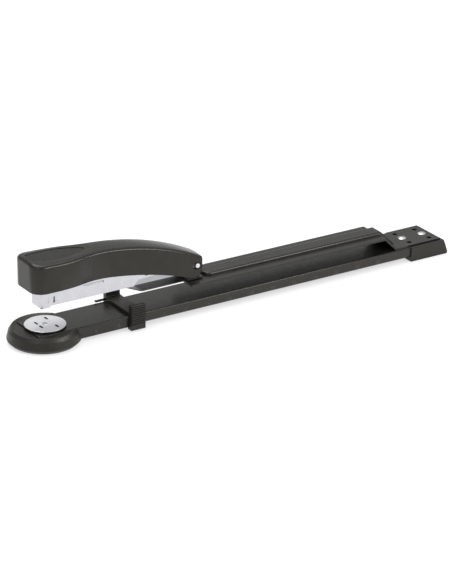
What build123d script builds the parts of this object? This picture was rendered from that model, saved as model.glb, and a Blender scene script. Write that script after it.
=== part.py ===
from build123d import *
import math
import os

# Long-reach stapler, in millimetres, +Z up.
# +X runs along the rail from the stapling nose to the rear foot.
# The origin is on the table, under the middle of the stapler's outline.

# ---- base rail and feet ----
RAIL_WIDTH = 35.0
RAIL_TOP = 12.2
RAIL_SHEET = 1.2
RAIL_FRONT = -180.3
RAIL_REAR = 187.0
RAIL_FLANGE = 8.2
NOSE_FLANGE = 9.6
FLANGE_STEP_X = -97.0
RAIL_EDGE_RADIUS = 1.3
SEAT_GAP = 0.5

FRONT_FOOT_X = -166.7
FRONT_FOOT_RADIUS = 28.6
FRONT_FOOT_TOP = 12.3
FOOT_BOTTOM = 0.4
PAD_TOP = 1.5
FOOT_ROOF = 7.0
REAR_FOOT_WIDTH = 37.2
REAR_FOOT_FRONT = 159.3
REAR_FOOT_END = 195.1
REAR_FOOT_TOP = 12.7

# ---- arm ----
ARM_SHEET = 1.5
ARM_WIDTH = 31.6
ARM_TOP = 24.2
ARM_FRONT = -46.0
SLOPE_X = 136.0
PLATE_TOP = RAIL_TOP + ARM_SHEET
PLATE_X = SLOPE_X + ARM_TOP - PLATE_TOP
ARM_REAR = 189.8
RIB_TOP = 26.8
RIB_WIDTH = 13.6
RIB_FRONT = -28.0
RIB_NOSE_RADIUS = 6.0
RIB_EDGE_RADIUS = 2.0
HOLE_CENTRE_X = 172.75
HOLE_SPACING_X = 19.5
HOLE_SPACING_Y = 20.0
HOLE_RADIUS = 2.0
RIVET_RADIUS = 2.0
RIVET_HEAD_RADIUS = 3.4
RIVET_HEAD_SAG = 1.05

# ---- turning anvil ----
ANVIL_X = -165.7
ANVIL_RADIUS = 16.0
ANVIL_TOP = 13.9
ANVIL_PLATE = 1.2
PIVOT_RADIUS = 1.5
STAPLE_LINE = 5.5
CLINCH_Y = 3.9
PINNING_Y = 8.4
CLIP_TOP = 4.2

# ---- hinge ----
PIN_X = -37.8
PIN_Z = 37.0
PIN_RADIUS = 2.0
PIN_CLEARANCE = 0.05
PIN_HALF = 11.5
EAR_RADIUS = 3.4
EAR_INNER = 7.3
EAR_SHEET = 0.7
LEAF_SHEET = 0.7
LEAF_HALF = 6.0
BRACKET_BASE = ARM_TOP + LEAF_SHEET
BRACKET_SHEET = 1.0
BRACKET_FRONT = ARM_FRONT + 0.6
BRACKET_RIVET_X = (ARM_FRONT + 4.0, PIN_X + 3.2)
BRACKET_RIVET_RADIUS = 1.5

# ---- magazine ----
MAGAZINE_FRONT = -172.8
MAGAZINE_BOTTOM = 31.2
MAGAZINE_TOP = 44.0
NOSE_BOTTOM = 29.8
COVER_HALF = 7.9
COVER_SHEET = 0.7
COVER_REAR = -60.0
CHANNEL_HALF = 7.1
CHANNEL_SHEET = 0.6
CHANNEL_FLOOR_FRONT = -169.6
CORE_HALF = 5.7
CORE_TOP = 38.1
CORE_FRONT = -169.4
CORE_REAR = -58.0
SLOT_HALF = 1.2
STRIP_FRONT = -170.1
STRIP_REAR = -120.0
STRIP_HALF = 6.35
STRIP_TOP = 38.75
WIRE = 0.5
PUSHER_FRONT = STRIP_REAR + 0.1
PUSHER_LENGTH = 15.0
PUSHER_TOP = 41.7
FIN_REAR = PUSHER_FRONT + 12.0
FIN_LENGTH = 4.0
ROD_Z = 34.8
ROD_RADIUS = 1.0

# ---- handle ----
HANDLE_FRONT = -182.7
HANDLE_REAR = -32.5
NOSE_HALF = 17.8
WAIST_HALF = 11.2
NOSE_CORNER = 10.0
SHOULDER_X = -163.0
WAIST_X = -115.0
HANDLE_WALL = 1.8
HANDLE_ROOF = 2.0
RIM_RADIUS = 2.9
TAIL_RADIUS = 2.0
CREST_FRONT = Vector(-190.0, 0, 69.8)
CREST_BEND = Vector(-125.0, 0, 67.6)
CREST_REAR = Vector(-26.0, 0, 40.1)
CROWN_RADIUS = 98.0
HANDLE_UNDERSIDE = 45.8
FRAME_TOP = 61.8
FRAME_HALF = 9.0
FRAME_SHEET = 0.8
FRAME_SCREW_X = (-157.0, -137.0)
BLADE_FRONT = -171.0
BLADE_SHEET = 0.5
BLADE_HALF = 6.2
BLADE_RIVET_Y = 3.4
BLADE_RIVET_Z = 56.0
DISH_FRONT = -179.6
DISH_REAR = -130.8
DISH_HALF = 10.4
DISH_DEPTH = 1.2
INLAY_THICKNESS = 0.8

# ---- paper stop ----
STOP_FRONT = -103.0
STOP_REAR = -90.5
STOP_TOP = 21.0
STOP_BRIDGE_TOP = 14.8
STOP_GAP = 0.25
STOP_CHEEK = 3.2
STOP_BOTTOM = 1.0
RIB_COUNT = 9
RIB_PITCH = 1.75
RIB_DEPTH = 0.8

os.makedirs("parts", exist_ok=True)


def save(piece, name):
    """Labels a finished piece and writes it as its own STEP file."""
    piece.label = name
    export_step(piece, f"parts/{name}.step")


# Places that several pieces share, on the table plane.
bench_holes = GridLocations(HOLE_SPACING_X, HOLE_SPACING_Y, 2, 2)
rivet_row = GridLocations(HOLE_SPACING_X, 1, 2, 1)
rear_centre = Plane.XY.offset(PLATE_TOP).shift_origin((HOLE_CENTRE_X, 0, PLATE_TOP))
foot_screw_places = [(ANVIL_X - 11.0, 0), (ANVIL_X + 11.0, 0), (HOLE_CENTRE_X, 0)]
bracket_rivet_places = [(x, 0) for x in BRACKET_RIVET_X]
frame_screw_places = [(x, 0) for x in FRAME_SCREW_X]
blade_rivet_places = [(-BLADE_RIVET_Y, BLADE_RIVET_Z), (BLADE_RIVET_Y, BLADE_RIVET_Z)]
pin_axis_plane = Plane(origin=(PIN_X, 0, PIN_Z), x_dir=(1, 0, 0), z_dir=(0, -1, 0))

# ---------------------------------------------------------------- base rail
rail_stretches = (
    (RAIL_FRONT, FLANGE_STEP_X, NOSE_FLANGE),
    (FLANGE_STEP_X, RAIL_REAR, RAIL_FLANGE),
)
with BuildPart() as base_rail:
    for start, end, depth in rail_stretches:
        with BuildSketch(Plane.YZ.offset(start)):
            with Locations((0, RAIL_TOP - depth / 2)):
                outer = Rectangle(RAIL_WIDTH, depth)
            fillet(outer.vertices().group_by(Axis.Z)[-1], RAIL_EDGE_RADIUS)
            with Locations((0, RAIL_TOP - RAIL_SHEET - depth / 2)):
                Rectangle(RAIL_WIDTH - 2 * RAIL_SHEET, depth, mode=Mode.SUBTRACT)
        extrude(amount=end - start)
    with BuildSketch(Plane.XY.offset(RAIL_TOP)):
        with Locations((ANVIL_X, 0)):
            Circle(PIVOT_RADIUS + PIN_CLEARANCE)
        with Locations(*foot_screw_places):
            Circle(1.25)
    extrude(amount=-RAIL_SHEET, mode=Mode.SUBTRACT)
    with BuildSketch(rear_centre):
        with bench_holes:
            Circle(HOLE_RADIUS)
        with rivet_row:
            Circle(RIVET_RADIUS)
    extrude(amount=-2 * ARM_SHEET - RAIL_SHEET, mode=Mode.SUBTRACT)
save(base_rail.part, "base_rail")

# ---------------------------------------------------------------- front foot
foot_profile = (
    (0, FOOT_BOTTOM),
    (FRONT_FOOT_RADIUS - 2.8, FOOT_BOTTOM),
    (FRONT_FOOT_RADIUS, 3.2),
    (FRONT_FOOT_RADIUS - 1.6, 9.4),
    (FRONT_FOOT_RADIUS - 3.5, FRONT_FOOT_TOP),
    (FRONT_FOOT_RADIUS - 4.6, FRONT_FOOT_TOP),
    (FRONT_FOOT_RADIUS - 6.8, FRONT_FOOT_TOP - 0.9),
    (0, FRONT_FOOT_TOP - 0.9),
)
pad_ring = (18.0, 24.5)
with BuildPart() as front_foot:
    with BuildSketch(Plane.XZ):
        with BuildLine():
            Polyline(*[(FRONT_FOOT_X + radius, z) for radius, z in foot_profile], close=True)
        make_face()
    revolve(axis=Axis((FRONT_FOOT_X, 0, 0), (0, 0, 1)))
    rims = front_foot.edges().filter_by(GeomType.CIRCLE)
    fillet(rims.filter_by_position(Axis.Z, 3.0, FRONT_FOOT_TOP - 0.5), 1.4)
    fillet(front_foot.edges().group_by(Axis.Z)[-1], 0.5)
    # Seat for the rail's top plate and the slots that its flanges stand in.
    with BuildSketch(Plane.XY.offset(RAIL_TOP - RAIL_SHEET)):
        with Locations((RAIL_FRONT - SEAT_GAP, 0)):
            Rectangle(80, RAIL_WIDTH, align=(Align.MIN, Align.CENTER))
    extrude(amount=5, mode=Mode.SUBTRACT)
    with BuildSketch(Plane.XY.offset(RAIL_TOP - NOSE_FLANGE)):
        for side in (-1, 1):
            with Locations((RAIL_FRONT, side * (RAIL_WIDTH - RAIL_SHEET) / 2)):
                Rectangle(80, RAIL_SHEET, align=(Align.MIN, Align.CENTER))
    extrude(amount=NOSE_FLANGE, mode=Mode.SUBTRACT)
    # Hollow underside, the well for the anvil's spring, the screw holes and the pad's groove.
    with BuildSketch(Plane.XY.offset(FOOT_BOTTOM)):
        with Locations((FRONT_FOOT_X, 0)):
            Circle(15.5)
    extrude(amount=FOOT_ROOF - FOOT_BOTTOM, mode=Mode.SUBTRACT)
    with BuildSketch(Plane.XY.offset(FOOT_ROOF)):
        with Locations((ANVIL_X, 0)):
            Circle(5.0)
        with Locations(*foot_screw_places[:2]):
            Circle(1.25)
    extrude(amount=RAIL_TOP - FOOT_ROOF, mode=Mode.SUBTRACT)
    with BuildSketch(Plane.XY.offset(FOOT_BOTTOM)):
        with Locations((FRONT_FOOT_X, 0)):
            Circle(pad_ring[1])
            Circle(pad_ring[0], mode=Mode.SUBTRACT)
    extrude(amount=PAD_TOP - FOOT_BOTTOM, mode=Mode.SUBTRACT)
save(front_foot.part, "front_foot")

with BuildPart() as front_pad:
    with BuildSketch():
        with Locations((FRONT_FOOT_X, 0)):
            Circle(pad_ring[1])
            Circle(pad_ring[0], mode=Mode.SUBTRACT)
    extrude(amount=PAD_TOP)
    chamfer(front_pad.edges().group_by(Axis.Z)[0], 0.3)
save(front_pad.part, "front_pad")

# ---------------------------------------------------------------- rear foot
rear_pad_size = (12.0, 31.0)
with BuildPart() as rear_foot:
    with BuildSketch(Plane.XZ):
        with BuildLine():
            Polyline(
                (REAR_FOOT_FRONT, FOOT_BOTTOM),
                (REAR_FOOT_END, FOOT_BOTTOM),
                (REAR_FOOT_END, 2.4),
                (REAR_FOOT_END - 2.0, 8.4),
                (REAR_FOOT_END - 3.8, REAR_FOOT_TOP),
                (REAR_FOOT_FRONT, REAR_FOOT_TOP),
                close=True,
            )
        make_face()
    extrude(amount=REAR_FOOT_WIDTH / 2, both=True)
    fillet(rear_foot.edges().filter_by(Axis.Y).group_by(Axis.X)[-1], 0.9)
    fillet(rear_foot.edges().filter_by(Axis.Y).sort_by(Axis.Z)[-1:], 1.6)
    # Seat for the arm's rear plate.
    with BuildSketch(Plane.XY.offset(RAIL_TOP)):
        with Locations((ARM_REAR + 0.1, 0)):
            Rectangle(60, ARM_WIDTH + 0.2, align=(Align.MAX, Align.CENTER))
    extrude(amount=5, mode=Mode.SUBTRACT)
    with BuildSketch(Plane.XY.offset(RAIL_TOP - RAIL_SHEET)):
        with Locations((RAIL_REAR, 0)):
            Rectangle(60, RAIL_WIDTH, align=(Align.MAX, Align.CENTER))
    extrude(amount=5, mode=Mode.SUBTRACT)
    with BuildSketch(Plane.XY.offset(RAIL_TOP - RAIL_FLANGE)):
        for side in (-1, 1):
            with Locations((RAIL_REAR, side * (RAIL_WIDTH - RAIL_SHEET) / 2)):
                Rectangle(60, RAIL_SHEET, align=(Align.MAX, Align.CENTER))
    extrude(amount=RAIL_FLANGE, mode=Mode.SUBTRACT)
    # Wells below the rivets and the middle screw, and the pad's recess.
    with BuildSketch(Plane.XY.offset(FOOT_BOTTOM)):
        with Locations((HOLE_CENTRE_X, 0)):
            SlotCenterToCenter(HOLE_SPACING_X, 8.0)
    extrude(amount=RAIL_TOP, mode=Mode.SUBTRACT)
    with BuildSketch(Plane.XY.offset(FOOT_BOTTOM)):
        with Locations((HOLE_CENTRE_X, 0)):
            Rectangle(*rear_pad_size)
    extrude(amount=PAD_TOP - FOOT_BOTTOM, mode=Mode.SUBTRACT)
    with BuildSketch(Plane.XY.offset(FOOT_ROOF)):
        with Locations((HOLE_CENTRE_X, 0)):
            Rectangle(9.0, 8.5)
            Circle(1.25, mode=Mode.SUBTRACT)
    extrude(amount=RAIL_TOP - RAIL_SHEET - FOOT_ROOF)
    with BuildSketch(rear_centre):
        with bench_holes:
            Circle(HOLE_RADIUS)
    extrude(amount=-PLATE_TOP, mode=Mode.SUBTRACT)
save(rear_foot.part, "rear_foot")

with BuildPart() as rear_pad:
    with BuildSketch():
        with Locations((HOLE_CENTRE_X, 0)):
            Rectangle(*rear_pad_size)
    extrude(amount=PAD_TOP)
    chamfer(rear_pad.edges().group_by(Axis.Z)[0], 0.3)
save(rear_pad.part, "rear_pad")

# Three self-tapping screws hold the feet to the rail from below.
with BuildPart() as foot_screws:
    with BuildSketch(Plane.XY.offset(RAIL_TOP)):
        with Locations(*foot_screw_places):
            Circle(1.25)
    extrude(amount=-(RAIL_TOP - FOOT_ROOF))
    with BuildSketch(Plane.XY.offset(FOOT_ROOF)):
        with Locations(*foot_screw_places):
            Circle(2.6)
    extrude(amount=-1.8)
    with BuildSketch(Plane.XY.offset(FOOT_ROOF - 1.8)):
        with Locations(*foot_screw_places):
            Rectangle(3.4, 0.7)
            Rectangle(0.7, 3.4)
    extrude(amount=0.9, mode=Mode.SUBTRACT)
save(foot_screws.part, "foot_screws")

# ---------------------------------------------------------------- arm
bend = ARM_SHEET * math.tan(math.radians(22.5))
with BuildPart() as arm:
    with BuildSketch(Plane.XZ):
        with BuildLine():
            Polyline(
                (ARM_FRONT, ARM_TOP),
                (SLOPE_X, ARM_TOP),
                (PLATE_X, PLATE_TOP),
                (ARM_REAR, PLATE_TOP),
                (ARM_REAR, RAIL_TOP),
                (PLATE_X - bend, RAIL_TOP),
                (SLOPE_X - bend, ARM_TOP - ARM_SHEET),
                (ARM_FRONT, ARM_TOP - ARM_SHEET),
                close=True,
            )
        make_face()
    extrude(amount=ARM_WIDTH / 2, both=True)
    # Stiffening rib, rounded in front, which runs on down the slope.
    rise = RIB_TOP - ARM_TOP
    with BuildSketch(Plane.XZ):
        with BuildLine():
            slope_top = SLOPE_X + rise * math.tan(math.radians(22.5))
            Polyline(
                (RIB_FRONT, ARM_TOP - 0.5),
                (RIB_FRONT, RIB_TOP),
                (slope_top, RIB_TOP),
                (slope_top + RIB_TOP - PLATE_TOP, PLATE_TOP),
                (PLATE_X - 0.5, PLATE_TOP),
                (SLOPE_X - 0.5, ARM_TOP - 0.5),
                close=True,
            )
        make_face()
    extrude(amount=RIB_WIDTH / 2, both=True)
    rib_front = arm.faces().filter_by(Axis.X).sort_by(Axis.X)[1]
    fillet(rib_front.edges().filter_by(Axis.Z), RIB_NOSE_RADIUS)
    crest_edges = arm.edges().filter_by(lambda edge: edge.center().Z > ARM_TOP + 1.5)
    fillet(crest_edges.filter_by(lambda edge: abs(edge.center().Y) > 1), RIB_EDGE_RADIUS)
    with BuildSketch(Plane.XZ):
        with BuildLine():
            hollow_top = RIB_TOP - ARM_SHEET
            Polyline(
                (RIB_FRONT + 3, RAIL_TOP + 5),
                (RIB_FRONT + 3, hollow_top),
                (SLOPE_X - bend - (hollow_top - ARM_TOP + ARM_SHEET), hollow_top),
                (SLOPE_X - bend, ARM_TOP - ARM_SHEET),
                (SLOPE_X - bend, RAIL_TOP + 5),
                close=True,
            )
        make_face()
    extrude(amount=RIB_WIDTH / 2 - ARM_SHEET, both=True, mode=Mode.SUBTRACT)
    with BuildSketch(rear_centre):
        with bench_holes:
            Circle(HOLE_RADIUS)
        with rivet_row:
            Circle(RIVET_RADIUS)
    extrude(amount=-ARM_SHEET, mode=Mode.SUBTRACT)
    with BuildSketch(Plane.XY.offset(ARM_TOP)):
        with Locations(*bracket_rivet_places):
            Circle(BRACKET_RIVET_RADIUS)
    extrude(amount=-ARM_SHEET, mode=Mode.SUBTRACT)
    fillet(arm.edges().filter_by(Axis.Z).group_by(Axis.X)[0], 1.2)
save(arm.part, "arm")

# Domed rivets that clamp the arm to the rail.
dome_radius = (RIVET_HEAD_RADIUS**2 + RIVET_HEAD_SAG**2) / (2 * RIVET_HEAD_SAG)
tail_top = RAIL_TOP - RAIL_SHEET
with BuildPart() as rear_rivets:
    for x in (HOLE_CENTRE_X - HOLE_SPACING_X / 2, HOLE_CENTRE_X + HOLE_SPACING_X / 2):
        with BuildSketch(Plane.XZ):
            with BuildLine():
                Polyline(
                    (x, PLATE_TOP + 0.25 + RIVET_HEAD_SAG),
                    (x, tail_top - 1.0),
                    (x + 3.0, tail_top - 1.0),
                    (x + 3.0, tail_top),
                    (x + RIVET_RADIUS, tail_top),
                    (x + RIVET_RADIUS, PLATE_TOP),
                    (x + RIVET_HEAD_RADIUS, PLATE_TOP),
                    (x + RIVET_HEAD_RADIUS, PLATE_TOP + 0.25),
                )
                RadiusArc(
                    (x + RIVET_HEAD_RADIUS, PLATE_TOP + 0.25),
                    (x, PLATE_TOP + 0.25 + RIVET_HEAD_SAG),
                    -dome_radius,
                )
            make_face()
        revolve(axis=Axis((x, 0, 0), (0, 0, 1)))
save(rear_rivets.part, "rear_rivets")

# ---------------------------------------------------------------- hinge
with BuildPart() as lift_spring:
    with BuildSketch(Plane.XZ):
        with BuildLine():
            half = LEAF_SHEET / 2
            FilletPolyline(
                (PIN_X + 6.0, ARM_TOP + half),
                (-85.0, ARM_TOP + half),
                (-98.0, MAGAZINE_BOTTOM - 1.0),
                (-101.5, MAGAZINE_BOTTOM - 0.75),
                radius=2.5,
            )
        trace(line_width=LEAF_SHEET)
    extrude(amount=LEAF_HALF, both=True)
    with BuildSketch(Plane.XY.offset(BRACKET_BASE)):
        with Locations(*bracket_rivet_places):
            Circle(BRACKET_RIVET_RADIUS)
    extrude(amount=-2 * LEAF_SHEET, mode=Mode.SUBTRACT)
save(lift_spring.part, "lift_spring")

with BuildPart() as hinge_bracket:
    with BuildSketch(Plane.XY.offset(BRACKET_BASE)):
        with Locations((BRACKET_FRONT, 0)):
            Rectangle(14.4, 2 * (EAR_INNER + EAR_SHEET), align=(Align.MIN, Align.CENTER))
    extrude(amount=BRACKET_SHEET)
    for side in (-1, 1):
        with BuildSketch(Plane.XZ.offset(-side * (EAR_INNER + EAR_SHEET / 2))):
            with BuildLine():
                Polyline(
                    (BRACKET_FRONT, BRACKET_BASE),
                    (PIN_X + EAR_RADIUS, BRACKET_BASE),
                    (PIN_X + EAR_RADIUS, PIN_Z),
                    (PIN_X - EAR_RADIUS, PIN_Z),
                    (BRACKET_FRONT, BRACKET_BASE + 5),
                    close=True,
                )
            make_face()
            with Locations((PIN_X, PIN_Z)):
                Circle(EAR_RADIUS)
                Circle(PIN_RADIUS, mode=Mode.SUBTRACT)
        extrude(amount=EAR_SHEET / 2, both=True)
    with BuildSketch(Plane.XY.offset(BRACKET_BASE)):
        with Locations(*bracket_rivet_places):
            Circle(BRACKET_RIVET_RADIUS)
    extrude(amount=BRACKET_SHEET, mode=Mode.SUBTRACT)
save(hinge_bracket.part, "hinge_bracket")

rivet_stretches = (
    (ARM_TOP - ARM_SHEET - 0.8, ARM_TOP - ARM_SHEET, 2.4),
    (ARM_TOP - ARM_SHEET, BRACKET_BASE + BRACKET_SHEET, BRACKET_RIVET_RADIUS),
    (BRACKET_BASE + BRACKET_SHEET, BRACKET_BASE + BRACKET_SHEET + 1.0, 2.6),
)
with BuildPart() as bracket_rivets:
    for bottom, top, radius in rivet_stretches:
        with BuildSketch(Plane.XY.offset(bottom)):
            with Locations(*bracket_rivet_places):
                Circle(radius)
        extrude(amount=top - bottom)
    fillet(bracket_rivets.edges().group_by(Axis.Z)[-1], 0.7)
save(bracket_rivets.part, "bracket_rivets")

with BuildPart() as hinge_pin:
    with BuildSketch(pin_axis_plane):
        Circle(PIN_RADIUS)
    extrude(amount=PIN_HALF, both=True)
    fillet(hinge_pin.edges().filter_by(GeomType.CIRCLE), 0.6)
save(hinge_pin.part, "hinge_pin")

# ---------------------------------------------------------------- magazine
with BuildPart() as magazine_cover:
    with BuildSketch(Plane.XY.offset(NOSE_BOTTOM)):
        with Locations((MAGAZINE_FRONT, 0)):
            shell = Rectangle(
                COVER_REAR - MAGAZINE_FRONT, 2 * COVER_HALF, align=(Align.MIN, Align.CENTER)
            )
        fillet(shell.vertices().group_by(Axis.X)[0], 1.3)
        with Locations((MAGAZINE_FRONT + COVER_SHEET, 0)):
            Rectangle(
                COVER_REAR - MAGAZINE_FRONT,
                2 * (COVER_HALF - COVER_SHEET),
                align=(Align.MIN, Align.CENTER),
                mode=Mode.SUBTRACT,
            )
    extrude(amount=MAGAZINE_TOP - NOSE_BOTTOM)
    # Lower edge: the nose hangs lower, and behind the step the inner channel shows.
    with BuildSketch(Plane.XZ):
        with BuildLine():
            FilletPolyline(
                (-165.0, NOSE_BOTTOM - 2),
                (-165.0, MAGAZINE_BOTTOM - 0.2),
                (-93.0, MAGAZINE_BOTTOM - 0.2),
                (-89.0, MAGAZINE_BOTTOM + 4.4),
                (COVER_REAR + 5, MAGAZINE_BOTTOM + 5.4),
                (COVER_REAR + 5, NOSE_BOTTOM - 2),
                radius=0.4,
                close=True,
            )
        make_face()
    extrude(amount=COVER_HALF + 1, both=True, mode=Mode.SUBTRACT)
    # Inspection slots in both sides.
    with BuildSketch(Plane.XZ):
        with Locations((-162.0, 35.6)):
            SlotOverall(5.0, 1.6, rotation=90)
        with Locations((-128.0, 41.1)):
            SlotOverall(18.0, 1.7)
        with Locations((-79.2, 38.3)):
            SlotOverall(8.0, 1.7)
    extrude(amount=COVER_HALF + 1, both=True, mode=Mode.SUBTRACT)
    for side in (-1, 1):
        with BuildSketch(Plane.XZ.offset(-side * COVER_HALF)):
            with Locations((-167.4, 35.8)):
                SlotOverall(4.6, 2.4, rotation=90)
        extrude(amount=side * 0.25, mode=Mode.SUBTRACT)
save(magazine_cover.part, "magazine_cover")

with BuildPart() as staple_channel:
    with BuildSketch(Plane.XZ):
        with BuildLine():
            Polyline(
                (MAGAZINE_FRONT + COVER_SHEET + 0.2, MAGAZINE_BOTTOM),
                (PIN_X - 4.0, MAGAZINE_BOTTOM),
                (PIN_X + 0.5, PIN_Z - EAR_RADIUS + 0.05),
                (PIN_X, PIN_Z + EAR_RADIUS),
                (PIN_X - 8.0, PIN_Z + EAR_RADIUS),
                (COVER_REAR - 2.0, MAGAZINE_TOP),
                (MAGAZINE_FRONT + COVER_SHEET + 0.2, MAGAZINE_TOP),
                close=True,
            )
        make_face()
        with Locations((PIN_X, PIN_Z)):
            Circle(EAR_RADIUS)
    extrude(amount=CHANNEL_HALF, both=True)
    inner_half = CHANNEL_HALF - CHANNEL_SHEET
    with BuildSketch(Plane.XY.offset(MAGAZINE_BOTTOM + CHANNEL_SHEET)):
        with Locations((MAGAZINE_FRONT - 5, 0)):
            Rectangle(160, 2 * inner_half, align=(Align.MIN, Align.CENTER))
    extrude(amount=MAGAZINE_TOP, mode=Mode.SUBTRACT)
    # Staple exit in front of the floor, and the open end of the floor at the hinge.
    with BuildSketch(Plane.XY.offset(MAGAZINE_BOTTOM)):
        with Locations((CHANNEL_FLOOR_FRONT, 0)):
            Rectangle(10, 2 * inner_half, align=(Align.MAX, Align.CENTER))
        with Locations((PIN_X - 7.0, 0)):
            Rectangle(20, 2 * inner_half, align=(Align.MIN, Align.CENTER))
    extrude(amount=MAGAZINE_TOP, mode=Mode.SUBTRACT)
    with BuildSketch(Plane.XZ):
        with Locations((PIN_X, PIN_Z)):
            Circle(PIN_RADIUS + PIN_CLEARANCE)
        with Locations((-162.0, 35.6)):
            SlotOverall(5.0, 1.6, rotation=90)
    extrude(amount=CHANNEL_HALF + 1, both=True, mode=Mode.SUBTRACT)
save(staple_channel.part, "staple_channel")

# Core rail that the staples straddle; its top is slotted for the pusher's fin.
core_floor = MAGAZINE_BOTTOM + CHANNEL_SHEET
core_inner = CORE_HALF - CHANNEL_SHEET
with BuildPart() as core_rail:
    with BuildSketch(Plane.YZ.offset(CORE_FRONT)):
        with Locations((0, core_floor)):
            Rectangle(2 * CORE_HALF, CORE_TOP - core_floor, align=(Align.CENTER, Align.MIN))
            Rectangle(
                2 * core_inner,
                CORE_TOP - CHANNEL_SHEET - core_floor,
                align=(Align.CENTER, Align.MIN),
                mode=Mode.SUBTRACT,
            )
    extrude(amount=CORE_REAR - CORE_FRONT)
    for x in (CORE_FRONT + 3.0, CORE_REAR - CHANNEL_SHEET):
        with BuildSketch(Plane.YZ.offset(x)):
            with Locations((0, core_floor)):
                Rectangle(2 * CORE_HALF, CORE_TOP - core_floor, align=(Align.CENTER, Align.MIN))
            with Locations((0, ROD_Z)):
                Circle(ROD_RADIUS, mode=Mode.SUBTRACT)
        extrude(amount=CHANNEL_SHEET)
    with BuildSketch(Plane.XY.offset(CORE_TOP)):
        with Locations((CORE_FRONT + 8.0, 0)):
            Rectangle(CORE_REAR - CORE_FRONT - 12, 2 * SLOT_HALF, align=(Align.MIN, Align.CENTER))
    extrude(amount=-CHANNEL_SHEET, mode=Mode.SUBTRACT)
save(core_rail.part, "core_rail")

with BuildPart() as pusher_rod:
    with BuildSketch(Plane.YZ.offset(CORE_FRONT + 2.0)):
        with Locations((0, ROD_Z)):
            Circle(ROD_RADIUS)
    extrude(amount=CORE_REAR - CORE_FRONT - 1.4)
save(pusher_rod.part, "pusher_rod")

with BuildPart() as staple_strip:
    with BuildSketch(Plane.YZ.offset(STRIP_FRONT)):
        with Locations((0, core_floor + 0.2)):
            strip_height = STRIP_TOP - core_floor - 0.2
            Rectangle(2 * STRIP_HALF, strip_height, align=(Align.CENTER, Align.MIN))
            Rectangle(
                2 * (STRIP_HALF - WIRE),
                strip_height - WIRE,
                align=(Align.CENTER, Align.MIN),
                mode=Mode.SUBTRACT,
            )
    extrude(amount=STRIP_REAR - STRIP_FRONT)
save(staple_strip.part, "staple_strip")

with BuildPart() as pusher:
    with BuildSketch(Plane.YZ.offset(PUSHER_FRONT)):
        with Locations((0, core_floor + 0.3)):
            pusher_height = PUSHER_TOP - core_floor - 0.3
            Rectangle(2 * STRIP_HALF, pusher_height, align=(Align.CENTER, Align.MIN))
        with Locations((0, core_floor)):
            Rectangle(
                2 * CORE_HALF + 0.4,
                CORE_TOP + 0.2 - core_floor,
                align=(Align.CENTER, Align.MIN),
                mode=Mode.SUBTRACT,
            )
    extrude(amount=PUSHER_LENGTH)
    fillet(pusher.edges().filter_by(Axis.Y).group_by(Axis.Z)[-1], 1.2)
    with BuildSketch(Plane.YZ.offset(FIN_REAR - FIN_LENGTH)):
        with Locations((0, ROD_Z)):
            Rectangle(2.0, CORE_TOP + 1.0 - ROD_Z, align=(Align.CENTER, Align.MIN))
            Circle(2.2)
            Circle(ROD_RADIUS + PIN_CLEARANCE, mode=Mode.SUBTRACT)
    extrude(amount=FIN_LENGTH)
save(pusher.part, "pusher")


def coil(start, direction, length, turns, radius, wire_radius):
    """A round-wire compression coil that stands between two planes across its axis."""
    height = length - 2 * wire_radius
    foot = start + direction * wire_radius
    with BuildPart() as spring:
        with BuildLine():
            path = Helix(height / turns, height, radius, center=foot, direction=direction)
        with BuildSketch(Plane(origin=path @ 0, z_dir=path % 0)):
            Circle(wire_radius)
        sweep(path=path, is_frenet=True)
    return spring.part


pusher_spring = coil(
    start=Vector(FIN_REAR + 0.2, 0, ROD_Z),
    direction=Vector(1, 0, 0),
    length=CORE_REAR - CHANNEL_SHEET - FIN_REAR - 0.4,
    turns=15,
    radius=1.85,
    wire_radius=0.3,
)
save(pusher_spring, "pusher_spring")


# ---------------------------------------------------------------- handle
def handle_blank(inset, drop, rear):
    """The handle's outer form, or the form of its cavity: plan outline under a crowned, arched roof."""
    nose = NOSE_HALF - inset
    waist = WAIST_HALF - inset
    front = HANDLE_FRONT + inset
    with BuildPart() as blank:
        with BuildSketch(Plane.XY.offset(20)):
            with BuildLine():
                mid = ((SHOULDER_X + WAIST_X) / 2, (nose + waist) / 2)
                corner = NOSE_CORNER - inset
                Line((front, 0), (front, nose - corner))
                TangentArc((front, nose - corner), (front + corner, nose), tangent=(0, 1))
                Line((front + corner, nose), (SHOULDER_X, nose))
                TangentArc((SHOULDER_X, nose), mid, tangent=(1, 0))
                TangentArc((WAIST_X, waist), mid, tangent=(-1, 0))
                Line((WAIST_X, waist), (rear, waist))
                Line((rear, waist), (rear, 0))
                mirror(about=Plane.XZ)
            make_face()
        extrude(amount=60)
        with BuildLine():
            crest = [point - Vector(0, 0, drop) for point in (CREST_FRONT, CREST_BEND, CREST_REAR)]
            run = Line(crest[0], crest[1])
            TangentArc(crest[1], crest[2], tangent=run % 1)
        with BuildSketch(Plane(origin=run @ 0, x_dir=(0, 1, 0), z_dir=run % 0)):
            with BuildLine():
                side = 24.0
                sag = CROWN_RADIUS - math.sqrt(CROWN_RADIUS**2 - side**2)
                ThreePointArc((-side, -sag), (0, 0), (side, -sag))
                Polyline((side, -sag), (side, -60), (-side, -60), (-side, -sag))
            make_face()
        sweep(mode=Mode.INTERSECT)
    return blank.part


def lens(inset):
    """Plan outline of the thumb dish: blunt in front, pointed behind."""
    with BuildSketch(Plane.XY.offset(50)) as outline:
        with BuildLine():
            front = DISH_FRONT + inset
            corner = (front + 1.4, DISH_HALF - 3.4 - inset)
            heel = (DISH_REAR - 3.2 - inset, 3.4)
            ThreePointArc((front, 0), (front + 0.2, corner[1] / 2), corner)
            ThreePointArc(corner, (-160.0, DISH_HALF - inset), heel)
            TangentArc(heel, (DISH_REAR - inset, 0), tangent=(0.86, -0.5))
            mirror(about=Plane.XZ)
        make_face()
    return outline.sketch


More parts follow.
